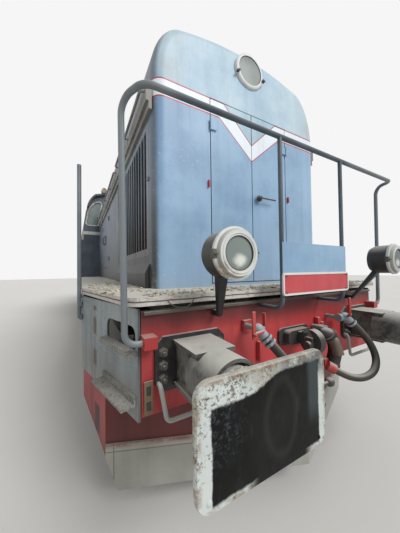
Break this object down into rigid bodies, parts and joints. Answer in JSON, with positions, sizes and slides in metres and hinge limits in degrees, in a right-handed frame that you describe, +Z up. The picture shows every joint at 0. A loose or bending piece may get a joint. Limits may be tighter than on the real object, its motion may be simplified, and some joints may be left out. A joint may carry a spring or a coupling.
{
  "type": "diesel locomotive",
  "caption": "Diesel hood locomotive on bogies: long and short hoods either side of a full-width cab, hinged doors, swivelling bogies, turning wheels, buffers and rail guards.",
  "frame": {"origin": "on the centreline, midway between the buffer faces, at the lowest points of the wheel flanges; the rail tops are 0.028 m above it", "axes": "+Z up, Y along the locomotive with its long hood towards -Y, +X to the right of someone facing the long hood's nose"},
  "size_m": [2.932, 13.7, 4.1279],
  "materials": {
    "body_blue": "faded mid-blue paint, dusty",
    "cab_blue": "dark steel-blue paint, dusty",
    "frame_grey": "blue-grey paint under dust",
    "red_paint": "faded red paint",
    "guard_grey": "taupe grey paint",
    "tread_steel": "worn bare steel with grit",
    "cast_housing": "dark, greasy",
    "buffer_white": "off-white paint, worn",
    "dark_steel": "dark, oily, dusty",
    "rail_slate": "dark slate paint",
    "plate_red": "red with a white border, blank",
    "lamp_taupe": "dark warm grey paint",
    "lamp_glass": "clear lens",
    "shutter_blue": "dark blue-grey slats with brown streaks",
    "gutter_taupe": "pale taupe paint under dust",
    "hose_rubber": "dusty black rubber",
    "inside_grey": "plain grey",
    "window_glass": "dusty pane",
    "wheel_steel": "dusty steel with bright treads"
  },
  "bodies": {
    "locomotive": {"deck": "frame_grey", "underframe": "dark_steel", "buffer_beams": "red_paint", "corner_plates": "frame_grey", "corner_steps": "tread_steel", "aprons": "red_paint", "rail_guards": "guard_grey", "buffer_housings": "cast_housing", "buffer_heads": "buffer_white", "draw_gear": "dark_steel", "end_handrails": "rail_slate", "step_handrails": "rail_slate", "end_signs": "plate_red", "lamps": "lamp_taupe", "lamp_glasses": "lamp_glass", "long_hood": "body_blue", "short_hood": "body_blue", "radiator_shutters": "shutter_blue", "roof_fittings": "dark_steel", "roof_vent": "frame_grey", "radiators": "dark_steel", "engine_and_gearbox": "dark_steel", "hood_rails": "gutter_taupe", "cab_front_wall": "cab_blue", "cab_rear_wall": "cab_blue", "cab_side_walls": "cab_blue", "cab_roof": "frame_grey", "cab_floor": "inside_grey", "cab_glass": "window_glass", "cab_furniture": "inside_grey", "fuel_tanks": "dark_steel", "cab_fittings": "buffer_white", "beam_pipes": "frame_grey", "brake_hose_left": "hose_rubber", "brake_hose_right": "hose_rubber", "hose_fittings": "cast_housing", "hose_holders": "red_paint"},
    "bogie_front": {"bogie_frame_front": "dark_steel", "axleboxes_front": "dark_steel"},
    "bogie_rear": {"bogie_frame_rear": "dark_steel", "axleboxes_rear": "dark_steel"},
    "wheelset_front_1": {"wheelset_front_1": "wheel_steel"},
    "wheelset_front_2": {"wheelset_front_2": "wheel_steel"},
    "wheelset_rear_1": {"wheelset_rear_1": "wheel_steel"},
    "wheelset_rear_2": {"wheelset_rear_2": "wheel_steel"},
    "long_nose_door_left": {"long_nose_door_left": "body_blue"},
    "long_nose_door_right": {"long_nose_door_right": "body_blue"},
    "short_nose_door_left": {"short_nose_door_left": "body_blue"},
    "short_nose_door_right": {"short_nose_door_right": "body_blue"},
    "long_side_door_left_front": {"long_side_door_left_front": "cab_blue"},
    "long_side_door_left_rear": {"long_side_door_left_rear": "cab_blue"},
    "long_side_door_right_front": {"long_side_door_right_front": "cab_blue"},
    "long_side_door_right_rear": {"long_side_door_right_rear": "cab_blue"},
    "short_side_door_left": {"short_side_door_left": "cab_blue"},
    "short_side_door_right": {"short_side_door_right": "cab_blue"},
    "cab_door_front": {"cab_door_front": "cab_blue", "cab_door_front_glass": "window_glass"},
    "cab_door_rear": {"cab_door_rear": "cab_blue", "cab_door_rear_glass": "window_glass"}
  },
  "joints": [
    {"name": "bogie_front_swivel", "type": "hinge", "parent": "locomotive", "child": "bogie_front", "pos_m": [0, -3.6, 0.9], "axis": [0, 0, 1], "range_deg": [-4, 4]},
    {"name": "bogie_rear_swivel", "type": "hinge", "parent": "locomotive", "child": "bogie_rear", "pos_m": [0, 3.6, 0.9], "axis": [0, 0, 1], "range_deg": [-4, 4]},
    {"name": "wheelset_front_1_spin", "type": "hinge", "parent": "bogie_front", "child": "wheelset_front_1", "pos_m": [0, -4.85, 0.528], "axis": [1, 0, 0], "continuous": true},
    {"name": "wheelset_front_2_spin", "type": "hinge", "parent": "bogie_front", "child": "wheelset_front_2", "pos_m": [0, -2.35, 0.528], "axis": [1, 0, 0], "continuous": true},
    {"name": "wheelset_rear_1_spin", "type": "hinge", "parent": "bogie_rear", "child": "wheelset_rear_1", "pos_m": [0, 2.35, 0.528], "axis": [1, 0, 0], "continuous": true},
    {"name": "wheelset_rear_2_spin", "type": "hinge", "parent": "bogie_rear", "child": "wheelset_rear_2", "pos_m": [0, 4.85, 0.528], "axis": [1, 0, 0], "continuous": true},
    {"name": "long_nose_door_left_hinge", "type": "hinge", "parent": "locomotive", "child": "long_nose_door_left", "pos_m": [-0.465, -5.825, 2.2], "axis": [0, 0, -1], "range_deg": [0, 110]},
    {"name": "long_nose_door_right_hinge", "type": "hinge", "parent": "locomotive", "child": "long_nose_door_right", "pos_m": [0.465, -5.825, 2.2], "axis": [0, 0, 1], "range_deg": [0, 110]},
    {"name": "short_nose_door_left_hinge", "type": "hinge", "parent": "locomotive", "child": "short_nose_door_left", "pos_m": [-0.465, 5.825, 2.2], "axis": [0, 0, 1], "range_deg": [0, 110]},
    {"name": "short_nose_door_right_hinge", "type": "hinge", "parent": "locomotive", "child": "short_nose_door_right", "pos_m": [0.465, 5.825, 2.2], "axis": [0, 0, -1], "range_deg": [0, 110]},
    {"name": "long_side_door_left_front_hinge", "type": "hinge", "parent": "locomotive", "child": "long_side_door_left_front", "pos_m": [-0.975, -2.83, 2.2], "axis": [0, 0, 1], "range_deg": [0, 110]},
    {"name": "long_side_door_left_rear_hinge", "type": "hinge", "parent": "locomotive", "child": "long_side_door_left_rear", "pos_m": [-0.975, -1.43, 2.2], "axis": [0, 0, -1], "range_deg": [0, 110]},
    {"name": "long_side_door_right_front_hinge", "type": "hinge", "parent": "locomotive", "child": "long_side_door_right_front", "pos_m": [0.975, -2.83, 2.2], "axis": [0, 0, -1], "range_deg": [0, 110]},
    {"name": "long_side_door_right_rear_hinge", "type": "hinge", "parent": "locomotive", "child": "long_side_door_right_rear", "pos_m": [0.975, -1.43, 2.2], "axis": [0, 0, 1], "range_deg": [0, 110]},
    {"name": "short_side_door_left_hinge", "type": "hinge", "parent": "locomotive", "child": "short_side_door_left", "pos_m": [-0.975, 3.5, 2.2], "axis": [0, 0, 1], "range_deg": [0, 110]},
    {"name": "short_side_door_right_hinge", "type": "hinge", "parent": "locomotive", "child": "short_side_door_right", "pos_m": [0.975, 3.5, 2.2], "axis": [0, 0, -1], "range_deg": [0, 110]},
    {"name": "cab_door_front_hinge", "type": "hinge", "parent": "locomotive", "child": "cab_door_front", "pos_m": [1.368, -0.345, 2.2], "axis": [0, 0, 1], "range_deg": [0, 110]},
    {"name": "cab_door_rear_hinge", "type": "hinge", "parent": "locomotive", "child": "cab_door_rear", "pos_m": [-1.368, 2.165, 2.2], "axis": [0, 0, 1], "range_deg": [0, 110]}
  ]
}
